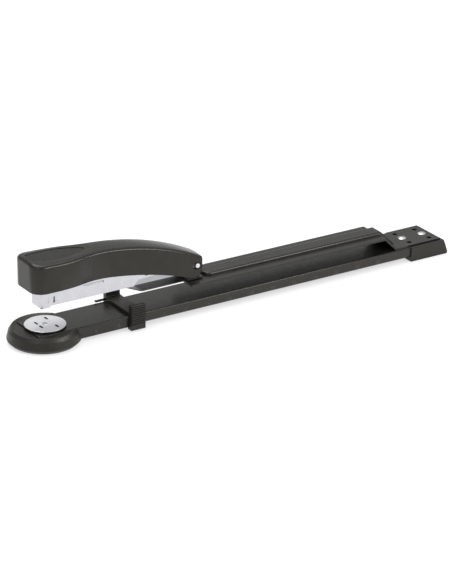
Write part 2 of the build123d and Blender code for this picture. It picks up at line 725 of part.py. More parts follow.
handle_outer = handle_blank(0, 0, HANDLE_REAR)
handle_cavity = handle_blank(HANDLE_WALL, HANDLE_ROOF, HANDLE_REAR + 8)
dish_floor = handle_blank(0, DISH_DEPTH, HANDLE_REAR)
inlay_top = handle_blank(0, DISH_DEPTH - INLAY_THICKNESS, HANDLE_REAR)

with BuildPart() as dish:
    extrude(lens(0), amount=40)
    add(dish_floor, mode=Mode.SUBTRACT)

with BuildPart() as handle_cover:
    add(handle_outer)
    # The roof's rim is rounded at the sides and the nose, and more softly behind.
    tail_edge = handle_cover.edges().group_by(Axis.X)[-1].sort_by(Axis.Z)[-1]
    fillet(tail_edge, TAIL_RADIUS)
    high = handle_cover.edges().filter_by(lambda edge: edge.bounding_box().min.Z > 60)
    nose_edge = high.group_by(Axis.X)[0]
    side_edges = handle_cover.edges().filter_by(
        lambda edge: edge.bounding_box().min.Z > 38 and edge.bounding_box().size.X > 0.5
    )
    fillet(nose_edge + side_edges, RIM_RADIUS)
    # Underside: level below the nose, then an easy curve down to the hinge lobes.
    with BuildSketch(Plane.XZ):
        with BuildLine():
            Line((HANDLE_FRONT - 10, HANDLE_UNDERSIDE), (-145.0, HANDLE_UNDERSIDE))
            TangentArc((-145.0, HANDLE_UNDERSIDE), (-44.0, 28.3), tangent=(1, 0))
            ThreePointArc((-44.0, 28.3), (-39.5, 28.2), (-35.6, 30.6))
            Polyline(
                (-35.6, 30.6),
                (HANDLE_REAR, 35.2),
                (HANDLE_REAR + 10, 35.2),
                (HANDLE_REAR + 10, 5),
                (HANDLE_FRONT - 10, 5),
                (HANDLE_FRONT - 10, HANDLE_UNDERSIDE),
            )
        make_face()
    extrude(amount=NOSE_HALF + 5, both=True, mode=Mode.SUBTRACT)
    add(handle_cavity, mode=Mode.SUBTRACT)
    # Bosses for the frame's screws.
    with BuildSketch(Plane.XY.offset(FRAME_TOP)):
        with Locations(*frame_screw_places):
            Circle(3.5)
    extrude(amount=5.6)
    with BuildSketch(Plane.XY.offset(FRAME_TOP)):
        with Locations(*frame_screw_places):
            Circle(1.25)
    extrude(amount=3.4, mode=Mode.SUBTRACT)
    # Keyhole windows that show the pin's ends.
    with BuildSketch(Plane.XZ):
        with Locations((PIN_X - 0.9, PIN_Z)):
            SlotOverall(7.4, 5.2)
    extrude(amount=NOSE_HALF, both=True, mode=Mode.SUBTRACT)
    add(dish.part, mode=Mode.SUBTRACT)
save(handle_cover.part, "handle_cover")

# Soft inlay in the lens-shaped dish over the nose; it follows the roof.
with BuildPart() as thumb_pad:
    extrude(lens(0.15), amount=40)
    add(inlay_top, mode=Mode.INTERSECT)
    add(dish_floor, mode=Mode.SUBTRACT)
save(thumb_pad.part, "thumb_pad")

# Pressed steel frame inside the cover: it carries the driver and turns on the pin.
with BuildPart() as handle_frame:
    with BuildSketch(Plane.XZ):
        with BuildLine():
            Polyline(
                (BLADE_FRONT + BLADE_SHEET, FRAME_TOP),
                (-127.0, FRAME_TOP),
                (PIN_X - 8.0, 44.4),
                (PIN_X - 8.0, 36.0),
                (PIN_X - 40.0, 46.0),
                (-127.0, FRAME_TOP - 6.5),
                (BLADE_FRONT + BLADE_SHEET, FRAME_TOP - 6.5),
                close=True,
            )
        make_face()
    extrude(amount=FRAME_HALF, both=True)
    with BuildSketch(Plane.XZ):
        with BuildLine():
            Polyline(
                (PIN_X - 8.0, 42.0),
                (PIN_X, PIN_Z + EAR_RADIUS),
                (PIN_X, PIN_Z - EAR_RADIUS),
                (PIN_X - 8.0, 36.0),
                close=True,
            )
        make_face()
        with Locations((PIN_X, PIN_Z)):
            Circle(EAR_RADIUS)
    extrude(amount=FRAME_HALF, both=True)
    # Room inside for the magazine, below the top plate.
    with BuildSketch(Plane.XZ):
        with BuildLine():
            Polyline(
                (BLADE_FRONT - 5, FRAME_TOP - FRAME_SHEET),
                (-127.15, FRAME_TOP - FRAME_SHEET),
                (PIN_X - 8.1, 44.4 - FRAME_SHEET - 0.2),
                (PIN_X + 10, 44.4 - FRAME_SHEET - 0.2),
                (PIN_X + 10, 20),
                (BLADE_FRONT - 5, 20),
                close=True,
            )
        make_face()
    extrude(amount=FRAME_HALF - FRAME_SHEET, both=True, mode=Mode.SUBTRACT)
    # Front wall that the driver is riveted to.
    with BuildSketch(Plane.XY.offset(FRAME_TOP)):
        with Locations((BLADE_FRONT + BLADE_SHEET, 0)):
            Rectangle(FRAME_SHEET, 2 * BLADE_HALF, align=(Align.MIN, Align.CENTER))
    extrude(amount=-11.5)
    with BuildSketch(Plane.XZ):
        with Locations((PIN_X, PIN_Z)):
            Circle(PIN_RADIUS + PIN_CLEARANCE)
    extrude(amount=FRAME_HALF + 1, both=True, mode=Mode.SUBTRACT)
    with BuildSketch(Plane.XY.offset(FRAME_TOP)):
        with Locations(*frame_screw_places):
            Circle(1.25)
    extrude(amount=-FRAME_SHEET, mode=Mode.SUBTRACT)
    with BuildSketch(Plane.YZ.offset(BLADE_FRONT)):
        with Locations(*blade_rivet_places):
            Circle(1.0)
    extrude(amount=5, mode=Mode.SUBTRACT)
save(handle_frame.part, "handle_frame")

with BuildPart() as driver_blade:
    with BuildSketch(Plane.YZ.offset(BLADE_FRONT)):
        with Locations((0, STRIP_TOP + 0.6)):
            Rectangle(2 * BLADE_HALF, 60.0 - STRIP_TOP - 0.6, align=(Align.CENTER, Align.MIN))
        with Locations(*blade_rivet_places):
            Circle(1.0, mode=Mode.SUBTRACT)
    extrude(amount=BLADE_SHEET)
save(driver_blade.part, "driver_blade")

with BuildPart() as driver_rivets:
    for start, end, radius in ((-0.7, 0, 1.7), (0, 1.3, 1.0), (1.3, 2.0, 1.7)):
        with BuildSketch(Plane.YZ.offset(BLADE_FRONT + start)):
            with Locations(*blade_rivet_places):
                Circle(radius)
        extrude(amount=end - start)
save(driver_rivets.part, "driver_rivets")

with BuildPart() as frame_screws:
    frame_under = FRAME_TOP - FRAME_SHEET
    for start, end, radius in ((-1.6, 0, 2.4), (0, 4.0, 1.25)):
        with BuildSketch(Plane.XY.offset(frame_under + start)):
            with Locations(*frame_screw_places):
                Circle(radius)
        extrude(amount=end - start)
    with BuildSketch(Plane.XY.offset(frame_under - 1.6)):
        with Locations(*frame_screw_places):
            Rectangle(3.2, 0.7)
            Rectangle(0.7, 3.2)
    extrude(amount=0.8, mode=Mode.SUBTRACT)
save(frame_screws.part, "frame_screws")

# Leaf under the frame that lifts the handle off the magazine.
with BuildPart() as handle_spring:
    with BuildSketch(Plane.XZ):
        with BuildLine():
            FilletPolyline(
                (-152.0, frame_under - 0.3),
                (-129.0, frame_under - 0.3),
                (-103.0, MAGAZINE_TOP + 0.9),
                (-97.0, MAGAZINE_TOP + 1.6),
                radius=3.0,
            )
        trace(line_width=0.6)
    extrude(amount=LEAF_HALF, both=True)
    with BuildSketch(Plane.XY.offset(frame_under)):
        with Locations(*frame_screw_places):
            Circle(2.6)
    extrude(amount=-0.8, mode=Mode.SUBTRACT)
save(handle_spring.part, "handle_spring")

# ---------------------------------------------------------------- anvil
with BuildPart() as anvil_disc:
    with BuildSketch(Plane.XY.offset(ANVIL_TOP)):
        with Locations((ANVIL_X, 0)):
            Circle(ANVIL_RADIUS)
    extrude(amount=-ANVIL_PLATE)
    chamfer(anvil_disc.edges().group_by(Axis.Z)[-1], 0.25)
    with BuildSketch(Plane.XY.offset(ANVIL_TOP - ANVIL_PLATE)):
        with Locations((ANVIL_X, 0)):
            Circle(6.0)
    extrude(amount=-(ANVIL_TOP - ANVIL_PLATE - RAIL_TOP - 0.05))
    # Two pairs of grooves: legs fold inwards in one pair and outwards in the other.
    groove_pairs = ((-STAPLE_LINE, CLINCH_Y), (STAPLE_LINE, PINNING_Y))
    with BuildSketch(Plane.XY.offset(ANVIL_TOP)):
        for x, y in groove_pairs:
            with Locations((ANVIL_X + x, -y), (ANVIL_X + x, y)):
                SlotOverall(5.2, 1.9, rotation=90)
    extrude(amount=-0.6, mode=Mode.SUBTRACT)
    with BuildSketch(Plane.XY.offset(ANVIL_TOP)):
        with Locations((ANVIL_X, 0)):
            Circle(PIVOT_RADIUS)
    extrude(amount=-5, mode=Mode.SUBTRACT)
save(anvil_disc.part, "anvil_disc")

with BuildPart() as anvil_pivot:
    with BuildSketch(Plane.XY.offset(CLIP_TOP - 1.4)):
        with Locations((ANVIL_X, 0)):
            Circle(PIVOT_RADIUS)
    extrude(amount=ANVIL_TOP - CLIP_TOP + 1.4)
    with BuildSketch(Plane.XY.offset(ANVIL_TOP)):
        with Locations((ANVIL_X, 0)):
            Circle(2.2)
    extrude(amount=0.3)
save(anvil_pivot.part, "anvil_pivot")

with BuildPart() as anvil_clip:
    with BuildSketch(Plane.XY.offset(CLIP_TOP)):
        with Locations((ANVIL_X, 0)):
            Circle(4.2)
            Circle(PIVOT_RADIUS, mode=Mode.SUBTRACT)
    extrude(amount=-0.8)
save(anvil_clip.part, "anvil_clip")

anvil_spring = coil(
    start=Vector(ANVIL_X, 0, CLIP_TOP),
    direction=Vector(0, 0, 1),
    length=RAIL_TOP - RAIL_SHEET - 0.1 - CLIP_TOP,
    turns=5,
    radius=3.0,
    wire_radius=0.35,
)
save(anvil_spring, "anvil_spring")

# ---------------------------------------------------------------- paper stop
cheek_inner = RAIL_WIDTH / 2 + STOP_GAP
cheek_outer = cheek_inner + STOP_CHEEK
stop_length = STOP_REAR - STOP_FRONT
stop_mid = (STOP_FRONT + STOP_REAR) / 2
with BuildPart() as paper_stop:
    with BuildSketch(Plane.YZ.offset(STOP_FRONT)):
        with Locations((0, STOP_BOTTOM)):
            Rectangle(2 * cheek_outer, STOP_TOP - STOP_BOTTOM, align=(Align.CENTER, Align.MIN))
        # Well over the bridge, between the cheeks.
        with BuildLine():
            well_half = cheek_inner - 0.4
            FilletPolyline(
                (-well_half, STOP_TOP + 2),
                (-well_half, STOP_BRIDGE_TOP),
                (well_half, STOP_BRIDGE_TOP),
                (well_half, STOP_TOP + 2),
                radius=1.2,
            )
            Line((well_half, STOP_TOP + 2), (-well_half, STOP_TOP + 2))
        make_face(mode=Mode.SUBTRACT)
        with Locations((0, RAIL_TOP + STOP_GAP)):
            Rectangle(2 * cheek_inner, 20, align=(Align.CENTER, Align.MAX), mode=Mode.SUBTRACT)
    extrude(amount=stop_length)
    # Lips that hook under the rail's flanges.
    lip_top = RAIL_TOP - NOSE_FLANGE - 0.3
    for side in (-1, 1):
        with BuildSketch(Plane.XY.offset(STOP_BOTTOM)):
            with Locations((stop_mid, side * (cheek_inner - 0.8))):
                Rectangle(stop_length, 2.6)
        extrude(amount=lip_top - STOP_BOTTOM)
    fillet(paper_stop.edges().filter_by(Axis.X).group_by(Axis.Z)[-1], 0.6)
    # Finger ribs on the outer face of each cheek.
    rib_middle = STOP_TOP - 1.6 - RIB_PITCH * (RIB_COUNT - 1) / 2
    for side in (-1, 1):
        with BuildSketch(Plane.XZ.offset(-side * cheek_outer)):
            with Locations((stop_mid, rib_middle)):
                with GridLocations(1, RIB_PITCH, 1, RIB_COUNT):
                    Rectangle(stop_length - 0.6, 0.95)
        extrude(amount=-side * RIB_DEPTH)
    # Low edge guide that reaches forward along the far edge of the rail.
    with BuildSketch(Plane.XZ.offset(-RAIL_WIDTH / 2)):
        with BuildLine():
            Polyline(
                (STOP_FRONT, RAIL_TOP + STOP_GAP),
                (STOP_FRONT - 9.0, RAIL_TOP + STOP_GAP),
                (STOP_FRONT - 9.4, RAIL_TOP + 2.6),
                (STOP_FRONT - 8.3, RAIL_TOP + 1.7),
                (STOP_FRONT, RAIL_TOP + 1.7),
                close=True,
            )
        make_face()
    extrude(amount=-1.2)
save(paper_stop.part, "paper_stop")
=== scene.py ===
import math

import bmesh
import bpy
from mathutils import Matrix, Vector


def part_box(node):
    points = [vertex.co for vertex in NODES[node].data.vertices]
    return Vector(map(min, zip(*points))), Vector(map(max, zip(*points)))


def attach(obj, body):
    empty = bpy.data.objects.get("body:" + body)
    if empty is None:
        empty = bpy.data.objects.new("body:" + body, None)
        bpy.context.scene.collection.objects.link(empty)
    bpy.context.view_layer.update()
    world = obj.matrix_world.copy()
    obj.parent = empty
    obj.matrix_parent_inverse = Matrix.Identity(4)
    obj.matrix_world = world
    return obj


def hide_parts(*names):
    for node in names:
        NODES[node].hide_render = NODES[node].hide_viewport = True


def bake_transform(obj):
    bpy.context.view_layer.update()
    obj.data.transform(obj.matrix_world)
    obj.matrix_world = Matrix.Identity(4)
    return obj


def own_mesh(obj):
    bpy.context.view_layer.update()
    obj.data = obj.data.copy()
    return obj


# Long-reach stapler, in metres. +X runs to the rear foot, -Y faces the viewer, +Z is up.
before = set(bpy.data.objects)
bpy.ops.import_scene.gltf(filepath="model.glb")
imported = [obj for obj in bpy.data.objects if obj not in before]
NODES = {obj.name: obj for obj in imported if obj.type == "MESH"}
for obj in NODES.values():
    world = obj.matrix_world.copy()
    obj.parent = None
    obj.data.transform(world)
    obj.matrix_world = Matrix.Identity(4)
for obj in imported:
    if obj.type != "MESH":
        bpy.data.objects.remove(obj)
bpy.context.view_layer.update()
MM = 0.001

# ---- camera: a long lens, low over the nose end ----
CAMERA_AZIMUTH = math.radians(-32.51)
CAMERA_ELEVATION = math.radians(23.06)
CAMERA_ROLL = math.radians(0.39)
CAMERA_DISTANCE = 2.2045
CAMERA_TARGET = Vector((-0.00503, 0, 0.00382))
CAMERA_LENS = 174.4
CAMERA_CLIP_END = 20

# ---- staples ----
WIRE = 0.5 * MM
TOUCHING_RADIUS = WIRE * 0.51
STAPLE_SHOULDER = 0.55 * MM

# ---- lift leaf: flat behind, a short bend, then up to the lip ----
LEAF_SHEET = 0.7 * MM
LEAF_BEND_X = -85.0 * MM
LEAF_BEND_REACH = 2 * MM
LEAF_BEND_SHARE = 0.16
LEAF_LIP_X = -98.0 * MM
LEAF_LIP_DROP = 0.25 * MM
LEAF_TIP_RISE = 0.2 * MM
LEAF_TIP_TAPER = 0.75
LEAF_STEP = 4.5 * MM
LEAF_STEPS = 8

# ---- pusher's coil ----
COIL_TURNS = 15
COIL_WIRE = 0.3 * MM
COIL_STEPS_PER_TURN = 16

# ---- scale on the rail, its reach counted in half centimetres from the staple line ----
SCALE_RELIEF = 0.04 * MM
SCALE_FIRST_HALF = 8
SCALE_LAST_HALF = 60
MARK_WHOLE = 1.9 * MM
MARK_HALF = 1.1 * MM
MARK_HALF_WIDTH = 0.14 * MM
MARK_DROP = 1.7 * MM
DIGIT_HEIGHT = 3.4 * MM
FONT_SIZE_PER_HEIGHT = 1.35
DIGIT_BASE_Z = 5.0 * MM
DIGIT_SHIFT_IN_MM = 0.6

# ---- edges ----
SHARP_ANGLE = math.radians(40)
WELD_DISTANCE = 0.002 * MM

# ---- surface finish ----
COAT_ROUGHNESS = 0.12
WARM_GLOSS = (1.0, 0.97, 0.88, 1)
ROUGHNESS_SPAN = (0.3, 0.7)
COLOR_SPAN = (0.32, 0.68)
# Painted shade in the disc's pressed grooves and down its edge: where it starts under the face, how far
# it fades, how dark it gets.
GROOVE_SHADE_START = 0.05 * MM
GROOVE_SHADE_FADE = 0.25 * MM
GROOVE_SHADE = 0.12

# ---- surroundings: bands of grey from the horizon and all below it, 0, to straight up, 1 ----
FLOOR_REACH = 6
FLOOR_GREY = 0.36
FLOOR_DARK = 0.355
FLOOR_LIGHT = 0.365
FLOOR_GLOW = 0.62
WORLD_BANDS = ((0.0, 0.95), (0.2, 0.55), (0.36, 0.7), (0.68, 1.0))
WORLD_BLUE = 1.01
WORLD_STRENGTH = 0.8


# ---------------------------------------------------------------- materials
def darken_below(made, height, band, shade):
    """Paints shade into a colour below a height above the floor, down to shade of it one band lower."""
    tree = made.node_tree
    shader = tree.nodes["Principled BSDF"]
    source = shader.inputs["Base Color"].links[0].from_socket
    place = tree.nodes.new("ShaderNodeNewGeometry")
    split = tree.nodes.new("ShaderNodeSeparateXYZ")
    tree.links.new(place.outputs["Position"], split.inputs["Vector"])
    fade = tree.nodes.new("ShaderNodeMapRange")
    fade.inputs["From Min"].default_value = height - band
    fade.inputs["From Max"].default_value = height
    fade.inputs["To Min"].default_value = shade
    fade.inputs["To Max"].default_value = 1.0
    tree.links.new(split.outputs["Z"], fade.inputs["Value"])
    mix = tree.nodes.new("ShaderNodeVectorMath")
    mix.operation = "SCALE"
    tree.links.new(source, mix.inputs[0])
    tree.links.new(fade.outputs["Result"], mix.inputs["Scale"])
    tree.links.new(mix.outputs["Vector"], shader.inputs["Base Color"])


def material(name, color, roughness, metallic=0.0, coat=0.0, specular=0.5):
    """A principled material whose even values sit on the shader's own sockets."""
    made = bpy.data.materials.new(name)
    made.use_nodes = True
    shader = made.node_tree.nodes["Principled BSDF"]
    shader.inputs["Base Color"].default_value = (*color, 1)
    shader.inputs["Roughness"].default_value = roughness
    shader.inputs["Metallic"].default_value = metallic
    shader.inputs["Specular IOR Level"].default_value = specular
    shader.inputs["Coat Weight"].default_value = coat
    shader.inputs["Coat Roughness"].default_value = COAT_ROUGHNESS
    return made


def noise(made, scale, detail=3.0, stretch=(1, 1, 1)):
    """Noise fixed to the piece, scale in grains per metre; a low stretch draws it out along an axis."""
    tree = made.node_tree
    place = tree.nodes.new("ShaderNodeTexCoord")
    mapping = tree.nodes.new("ShaderNodeMapping")
    mapping.inputs["Scale"].default_value = stretch
    texture = tree.nodes.new("ShaderNodeTexNoise")
    texture.inputs["Scale"].default_value = scale
    texture.inputs["Detail"].default_value = detail
    tree.links.new(place.outputs["Object"], mapping.inputs["Vector"])
    tree.links.new(mapping.outputs["Vector"], texture.inputs["Vector"])
    return texture.outputs["Fac"]


def vary_roughness(made, grain, low, high):
    """Lets the noise move the roughness between low and high."""
    tree = made.node_tree
    spread = tree.nodes.new("ShaderNodeMapRange")
    spread.inputs["From Min"].default_value = ROUGHNESS_SPAN[0]
    spread.inputs["From Max"].default_value = ROUGHNESS_SPAN[1]
    spread.inputs["To Min"].default_value = low
    spread.inputs["To Max"].default_value = high
    tree.links.new(grain, spread.inputs["Value"])
    shader = tree.nodes["Principled BSDF"]
    tree.links.new(spread.outputs["Result"], shader.inputs["Roughness"])


def vary_color(made, grain, dark, light):
    """Lets the noise move the base colour between dark and light."""
    tree = made.node_tree
    ramp = tree.nodes.new("ShaderNodeValToRGB")
    ramp.color_ramp.elements[0].position = COLOR_SPAN[0]
    ramp.color_ramp.elements[0].color = (*dark, 1)
    ramp.color_ramp.elements[1].position = COLOR_SPAN[1]
    ramp.color_ramp.elements[1].color = (*light, 1)
    tree.links.new(grain, ramp.inputs["Fac"])
    shader = tree.nodes["Principled BSDF"]
    tree.links.new(ramp.outputs["Color"], shader.inputs["Base Color"])


def bump(made, height, strength, distance):
    """Raises the surface by a noise, distance deep at full strength."""
    tree = made.node_tree
    relief = tree.nodes.new("ShaderNodeBump")
    relief.inputs["Strength"].default_value = strength
    relief.inputs["Distance"].default_value = distance
    tree.links.new(height, relief.inputs["Height"])
    shader = tree.nodes["Principled BSDF"]
    tree.links.new(relief.outputs["Normal"], shader.inputs["Normal"])


def enamel(name):
    """Satin black stove enamel on sheet steel: a faint orange peel under a thin gloss."""
    made = material(name, (0.009, 0.0088, 0.0078), 0.3, coat=0.05, specular=0.44)
    made.node_tree.nodes["Principled BSDF"].inputs["Specular Tint"].default_value = WARM_GLOSS
    vary_color(made, noise(made, 60), (0.007, 0.0068, 0.006), (0.011, 0.0106, 0.0096))
    vary_roughness(made, noise(made, 220), 0.26, 0.36)
    bump(made, noise(made, 1400, detail=2), 0.06, 0.05 * MM)
    return made


def moulded(name, color, low, high, grain=2600, depth=0.25, specular=0.5):
    """Moulded plastic with a fine spark-eroded grain."""
    made = material(name, color, (low + high) / 2, specular=specular)
    made.node_tree.nodes["Principled BSDF"].inputs["Specular Tint"].default_value = WARM_GLOSS
    lighter = [value * 1.25 for value in color]
    darker = [value * 0.85 for value in color]
    vary_color(made, noise(made, 90), darker, lighter)
    vary_roughness(made, noise(made, 350), low, high)
    bump(made, noise(made, grain, detail=2), depth, 0.04 * MM)
    return made


def plated(name, color, low, high, stretch=(0.08, 1, 1), depth=0.08):
    """Plated or rolled steel: long faint drawing lines and slightly uneven gloss."""
    made = material(name, color, (low + high) / 2, metallic=1.0)
    lines = noise(made, 2200, detail=4, stretch=stretch)
    vary_color(made, noise(made, 120), [value * 0.93 for value in color], color)
    vary_roughness(made, lines, low, high)
    bump(made, lines, depth, 0.02 * MM)
    return made


ENAMEL = enamel("satin_enamel")
HANDLE_PLASTIC = moulded(
    "handle_plastic", (0.008, 0.0077, 0.0064), 0.22, 0.28, grain=3200, depth=0.05, specular=0.38
)
FOOT_PLASTIC = moulded("foot_plastic", (0.007, 0.0067, 0.0052), 0.36, 0.48, specular=0.42)
INLAY = moulded(
    "inlay_plastic", (0.005, 0.005, 0.0044), 0.42, 0.54, grain=1700, depth=0.4, specular=0.34
)
RUBBER = moulded("pad_rubber", (0.018, 0.018, 0.018), 0.72, 0.85, grain=1500, depth=0.6)
NICKEL = plated("satin_nickel", (0.58, 0.58, 0.61), 0.26, 0.34, depth=0.02)
DISC_NICKEL = plated("disc_nickel", (0.92, 0.92, 0.94), 0.3, 0.42, stretch=(1, 1, 1))
ZINC = plated("bright_zinc", (0.55, 0.56, 0.58), 0.28, 0.42)
# A darker copy of the bright zinc for the staple channel: painted shade of the channel recessed behind
# the magazine cover.
CHANNEL_ZINC_PAINTED_SHADE = plated("channel_zinc_painted_shade", (0.4, 0.4, 0.42), 0.3, 0.4, depth=0.02)
DARK_STEEL = plated("dark_steel", (0.13, 0.13, 0.135), 0.3, 0.45)
POLISHED = plated("polished_steel", (0.66, 0.66, 0.67), 0.16, 0.26, stretch=(1, 1, 1))
SPRING = plated("spring_steel", (0.2, 0.2, 0.2), 0.3, 0.42)
BLUED_SPRING = plated("blued_spring_steel", (0.07, 0.07, 0.072), 0.3, 0.42)
STAPLE_WIRE = plated("staple_wire", (0.7, 0.71, 0.73), 0.2, 0.3, stretch=(1, 1, 1))
SCALE_INK = moulded("scale_ink", (0.038, 0.037, 0.034), 0.5, 0.62)

node_materials = {
    "base_rail": ENAMEL,
    "arm": ENAMEL,
    "front_foot": FOOT_PLASTIC,
    "rear_foot": FOOT_PLASTIC,
    "paper_stop": FOOT_PLASTIC,
    "pusher": FOOT_PLASTIC,
    "handle_cover": HANDLE_PLASTIC,
    "thumb_pad": INLAY,
    "front_pad": RUBBER,
    "rear_pad": RUBBER,
    "foot_screws": ZINC,
    "rear_rivets": POLISHED,
    "hinge_pin": POLISHED,
    "bracket_rivets": ZINC,
    "hinge_bracket": ENAMEL,
    "lift_spring": BLUED_SPRING,
    "handle_spring": BLUED_SPRING,
    "pusher_spring": SPRING,
    "anvil_spring": SPRING,
    "magazine_cover": NICKEL,
    "staple_channel": CHANNEL_ZINC_PAINTED_SHADE,
    "core_rail": ZINC,
    "pusher_rod": ZINC,
    "staple_strip": STAPLE_WIRE,
    "handle_frame": DARK_STEEL,
    "driver_blade": ZINC,
    "driver_rivets": ZINC,
    "frame_screws": ZINC,
    "anvil_disc": DISC_NICKEL,
    "anvil_pivot": POLISHED,
    "anvil_clip": ZINC,
}
# The disc's colour is darkened below its face: painted shade in the pressed grooves and on the disc's
# edge.
disc_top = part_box("anvil_disc")[1].z
darken_below(DISC_NICKEL, disc_top - GROOVE_SHADE_START, GROOVE_SHADE_FADE, GROOVE_SHADE)
for name, made in node_materials.items():
    NODES[name].data.materials.clear()
    NODES[name].data.materials.append(made)

# Broken edges on the pressed and moulded parts, in millimetres, so that they catch the light.
edge_breaks = {
    "base_rail": 0.2,
    "arm": 0.3,
    "rear_foot": 0.3,
    "paper_stop": 0.2,
    "magazine_cover": 0.12,
    "handle_cover": 0.25,
}
for name, width in edge_breaks.items():
    node = NODES[name]
    weld = node.modifiers.new("weld", "WELD")
    weld.merge_threshold = WELD_DISTANCE
    bevel = node.modifiers.new("broken_edges", "BEVEL")
    bevel.width = width * MM
    bevel.segments = 2
    bevel.limit_method = "ANGLE"
    bevel.angle_limit = SHARP_ANGLE
    bevel.harden_normals = True


# ---------------------------------------------------------------- added pieces
def piece(name, mesh_builder, made):
    """Turns a filled bmesh into an object of the part, smooth where its faces meet gently."""
    mesh = bpy.data.meshes.new(name)
    bmesh.ops.recalc_face_normals(mesh_builder, faces=mesh_builder.faces)
    mesh_builder.to_mesh(mesh)
    mesh_builder.free()
    mesh.shade_smooth()
    mesh.set_sharp_from_angle(angle=SHARP_ANGLE)
    mesh.materials.append(made)
    obj = bpy.data.objects.new(name, mesh)
    bpy.context.scene.collection.objects.link(obj)
    return obj


def add_tube(target, points, radius, sides=10):
    """A closed round tube through the points, its ends capped."""
    rings = []
    for i, point in enumerate(points):
        ahead = points[min(i + 1, len(points) - 1)] - points[max(i - 1, 0)]
        turn = ahead.normalized().to_track_quat("Z", "Y").to_matrix()
        ring = []
        for k in range(sides):
            angle = 2 * math.pi * k / sides
            offset = turn @ Vector((radius * math.cos(angle), radius * math.sin(angle), 0))
            ring.append(target.verts.new(point + offset))
        rings.append(ring)
    for first, second in zip(rings, rings[1:]):
        for k in range(sides):
            n = (k + 1) % sides
            target.faces.new((first[k], first[n], second[n], second[k]))
    target.faces.new(reversed(rings[0]))
    target.faces.new(rings[-1])


def add_box(target, low, high):
    """A plain block between two corners."""
    corners = [
        target.verts.new((x, y, z))
        for x in (low[0], high[0])
        for y in (low[1], high[1])
        for z in (low[2], high[2])
    ]
    ends = ((0, 1, 3, 2), (4, 6, 7, 5))
    sides = ((0, 4, 5, 1), (2, 3, 7, 6))
    floors = ((0, 2, 6, 4), (1, 5, 7, 3))
    for face in ends + sides + floors:
        target.faces.new([corners[i] for i in face])


# Strip of separate staples: each a wire bent down at both shoulders, just touching the next.
strip_low, strip_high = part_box("staple_strip")
strip = bmesh.new()
half_width = strip_high.y - WIRE / 2
top = strip_high.z - WIRE / 2
count = round((strip_high.x - strip_low.x) / WIRE)
for i in range(count):
    x = strip_low.x + (i + 0.5) * WIRE
    path = [Vector((x, -half_width, strip_low.z))]
    path += [
        Vector(
            (
                x,
                -half_width + STAPLE_SHOULDER * (1 - math.cos(angle)),
                top - STAPLE_SHOULDER * (1 - math.sin(angle)),
            )
        )
        for angle in (0, math.pi / 6, math.pi / 3, math.pi / 2)
    ]
    path += [Vector((x, -point.y, point.z)) for point in reversed(path)]
    add_tube(strip, path, TOUCHING_RADIUS, sides=8)
staples = piece("staples", strip, STAPLE_WIRE)
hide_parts("staple_strip")
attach(staples, "magazine")

# Lift leaf under the magazine: flat behind, bent up in front, its tip a little narrower.
leaf_low, leaf_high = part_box("lift_spring")
leaf = bmesh.new()
flat_z = leaf_low.z + LEAF_SHEET / 2
lip_z = leaf_high.z - LEAF_SHEET / 2 - LEAF_LIP_DROP
flat_end_x = LEAF_BEND_X + LEAF_BEND_REACH
flat_end = Vector((flat_end_x, 0, flat_z))
bend = Vector((LEAF_BEND_X, 0, flat_z))
lip = Vector((LEAF_LIP_X, 0, lip_z))
rise = bend + (lip - bend) * LEAF_BEND_SHARE
run = [Vector((leaf_high.x, 0, flat_z))]
for i in range(LEAF_STEPS + 1):
    run.append(Vector((flat_end_x + LEAF_STEP * (LEAF_STEPS - i), 0, flat_z)))
for i in range(LEAF_STEPS + 1):
    t = i / LEAF_STEPS
    run.append((flat_end * (1 - t) + bend * t) * (1 - t) + (bend * (1 - t) + rise * t) * t)
run += [lip * t + run[-1] * (1 - t) for t in (0.33, 0.66, 0.95)]
run.append(Vector((leaf_low.x, 0, lip_z + LEAF_TIP_RISE)))
sections = []
for i, point in enumerate(run):
    ahead = run[min(i + 1, len(run) - 1)] - run[max(i - 1, 0)]
    normal = Vector((-ahead.z, 0, ahead.x)).normalized() * LEAF_SHEET / 2
    taper = LEAF_TIP_TAPER if i == len(run) - 1 else 1.0
    row = []
    for side in (-1, 1):
        for face in ((1, -1) if side > 0 else (-1, 1)):
            edge = Vector((point.x, side * leaf_high.y * taper, point.z))
            row.append(leaf.verts.new(edge + normal * face))
    sections.append(row)
for first, second in zip(sections, sections[1:]):
    for k in range(4):
        n = (k + 1) % 4
        leaf.faces.new((first[k], first[n], second[n], second[k]))
leaf.faces.new(reversed(sections[0]))
leaf.faces.new(sections[-1])
lift_leaf = piece("lift_leaf", leaf, BLUED_SPRING)
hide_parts("lift_spring")
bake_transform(lift_leaf)

# Pusher's coil spring, closed at both ends.
coil_low, coil_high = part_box("pusher_spring")
coil = bmesh.new()
coil_axis = (coil_low + coil_high) / 2
coil_radius = (coil_high.z - coil_low.z) / 2 - COIL_WIRE
steps = COIL_TURNS * COIL_STEPS_PER_TURN
wound = []
for i in range(steps + 1):
    t = i / steps
    angle = 2 * math.pi * COIL_TURNS * t
    x = coil_low.x + COIL_WIRE + t * (coil_high.x - coil_low.x - 2 * COIL_WIRE)
    y = coil_axis.y + coil_radius * math.cos(angle)
    wound.append(Vector((x, y, coil_axis.z + coil_radius * math.sin(angle))))
add_tube(coil, wound, COIL_WIRE, sides=8)
pusher_coil = piece("pusher_coil", coil, SPRING)
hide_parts("pusher_spring")
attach(pusher_coil, "magazine")
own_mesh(pusher_coil)

